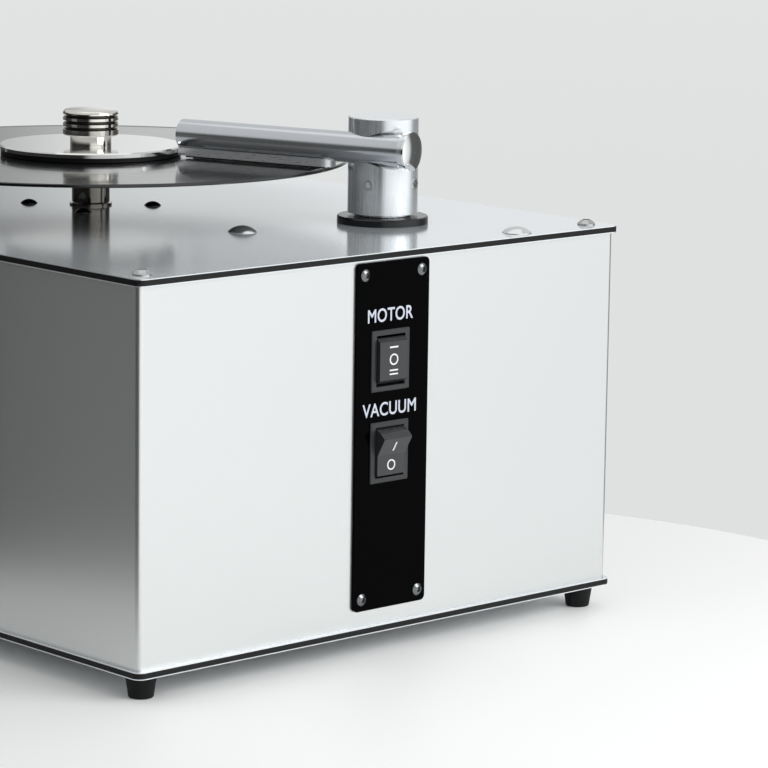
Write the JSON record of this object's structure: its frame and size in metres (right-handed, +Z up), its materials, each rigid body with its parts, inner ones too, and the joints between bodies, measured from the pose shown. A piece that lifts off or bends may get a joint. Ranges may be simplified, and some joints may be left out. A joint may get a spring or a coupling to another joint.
{
  "type": "record cleaning machine",
  "caption": "Box-cased vacuum record cleaner with a clamped record on a driven spindle, a swinging suction arm on a round post and rocker switches on a front strip.",
  "frame": {"origin": "centre of the overall box in plan, on the floor under the feet", "axes": "+Z up, -Y towards the person who stands at the switches, +X to that person's right"},
  "size_m": [0.348, 0.407, 0.281],
  "materials": {
    "aluminium_skin": "satin",
    "plate_core": "matte",
    "casing_sheet": "satin",
    "inner_bar": "satin",
    "foot_rubber": "matte",
    "screw_steel": "satin",
    "strip_gloss": "gloss",
    "switch_plastic": "satin",
    "rocker_plastic": "satin",
    "turned_aluminium": "polished",
    "spindle_steel": "satin",
    "record_vinyl": "gloss",
    "pad_felt": "matte",
    "seal_rubber": "matte",
    "velvet": "matte",
    "cap_plastic": "gloss",
    "dome_chrome": "polished",
    "gear_zinc": "satin",
    "motor_paint": "satin",
    "tank_plastic": "satin",
    "duct_plastic": "matte",
    "turbine_shell": "satin",
    "brass_fitting": "satin"
  },
  "bodies": {
    "chassis": {"base_plate_core": "plate_core", "base_plate_skins": "aluminium_skin", "top_plate_core": "plate_core", "top_plate_skins": "aluminium_skin", "casing_wrap": "casing_sheet", "rear_panel": "casing_sheet", "vent_grille": "duct_plastic", "corner_bars": "inner_bar", "feet": "foot_rubber", "foot_screws": "screw_steel", "corner_screws": "screw_steel", "rear_screws": "screw_steel", "control_strip": "strip_gloss", "strip_screws": "screw_steel", "motor_switch_body": "switch_plastic", "vacuum_switch_body": "switch_plastic", "spindle_bush": "spindle_steel", "gear_head": "gear_zinc", "drive_motor": "motor_paint", "motor_screws": "cap_plastic", "arm_ring": "seal_rubber", "pivot_bush": "brass_fitting", "tank_lid": "tank_plastic", "waste_tank": "tank_plastic", "dome_bolts": "dome_chrome", "dome_nuts": "screw_steel", "air_duct": "duct_plastic", "vacuum_turbine": "duct_plastic", "turbine_motor": "turbine_shell", "turbine_cradle": "turbine_shell", "drain_pipe": "duct_plastic", "drain_spout": "brass_fitting", "power_inlet": "duct_plastic", "run_capacitor": "turbine_shell", "terminal_block": "duct_plastic"},
    "rotor": {"spindle_post": "spindle_steel", "post_screws": "screw_steel", "drive_shaft": "screw_steel", "support_disc": "turned_aluminium", "support_pad": "pad_felt", "record": "record_vinyl"},
    "clamp": {"cover_seal": "seal_rubber", "label_cover": "turned_aluminium", "clamp_knob": "turned_aluminium", "knob_screw": "screw_steel"},
    "arm_pivot": {"pivot_shaft": "screw_steel", "pivot_collar": "brass_fitting"},
    "arm": {"arm_post": "turned_aluminium", "arm_sleeve": "turned_aluminium", "arm_tube": "turned_aluminium", "arm_screws": "dome_chrome", "end_plug": "dome_chrome", "tip_plug": "duct_plastic", "nozzle_bar": "turned_aluminium", "velvet_strips": "velvet"},
    "motor_rocker": {"motor_rocker": "rocker_plastic"},
    "vacuum_rocker": {"vacuum_rocker": "rocker_plastic"}
  },
  "joints": [
    {"name": "spindle_turn", "type": "hinge", "parent": "chassis", "child": "rotor", "pos_m": [-0.009, 0.05297, 0.221], "axis": [0, 0, 1], "continuous": true},
    {"name": "clamp_lift", "type": "slide", "parent": "rotor", "child": "clamp", "axis": [0, 0, 1], "range_m": [0, 0.018]},
    {"name": "arm_swing", "type": "hinge", "parent": "chassis", "child": "arm_pivot", "pos_m": [0.0745, -0.10673, 0.221], "axis": [0, 0, 1], "range_deg": [-85, 0]},
    {"name": "arm_lift", "type": "slide", "parent": "arm_pivot", "child": "arm", "axis": [0, 0, 1], "range_m": [0, 0.008]},
    {"name": "motor_rocker_tilt", "type": "hinge", "parent": "chassis", "child": "motor_rocker", "pos_m": [-0.0005, -0.19273, 0.162], "axis": [1, 0, 0], "range_deg": [-10, 10]},
    {"name": "vacuum_rocker_tilt", "type": "hinge", "parent": "chassis", "child": "vacuum_rocker", "pos_m": [-0.0005, -0.19273, 0.112], "axis": [1, 0, 0], "range_deg": [-30, 0]}
  ]
}
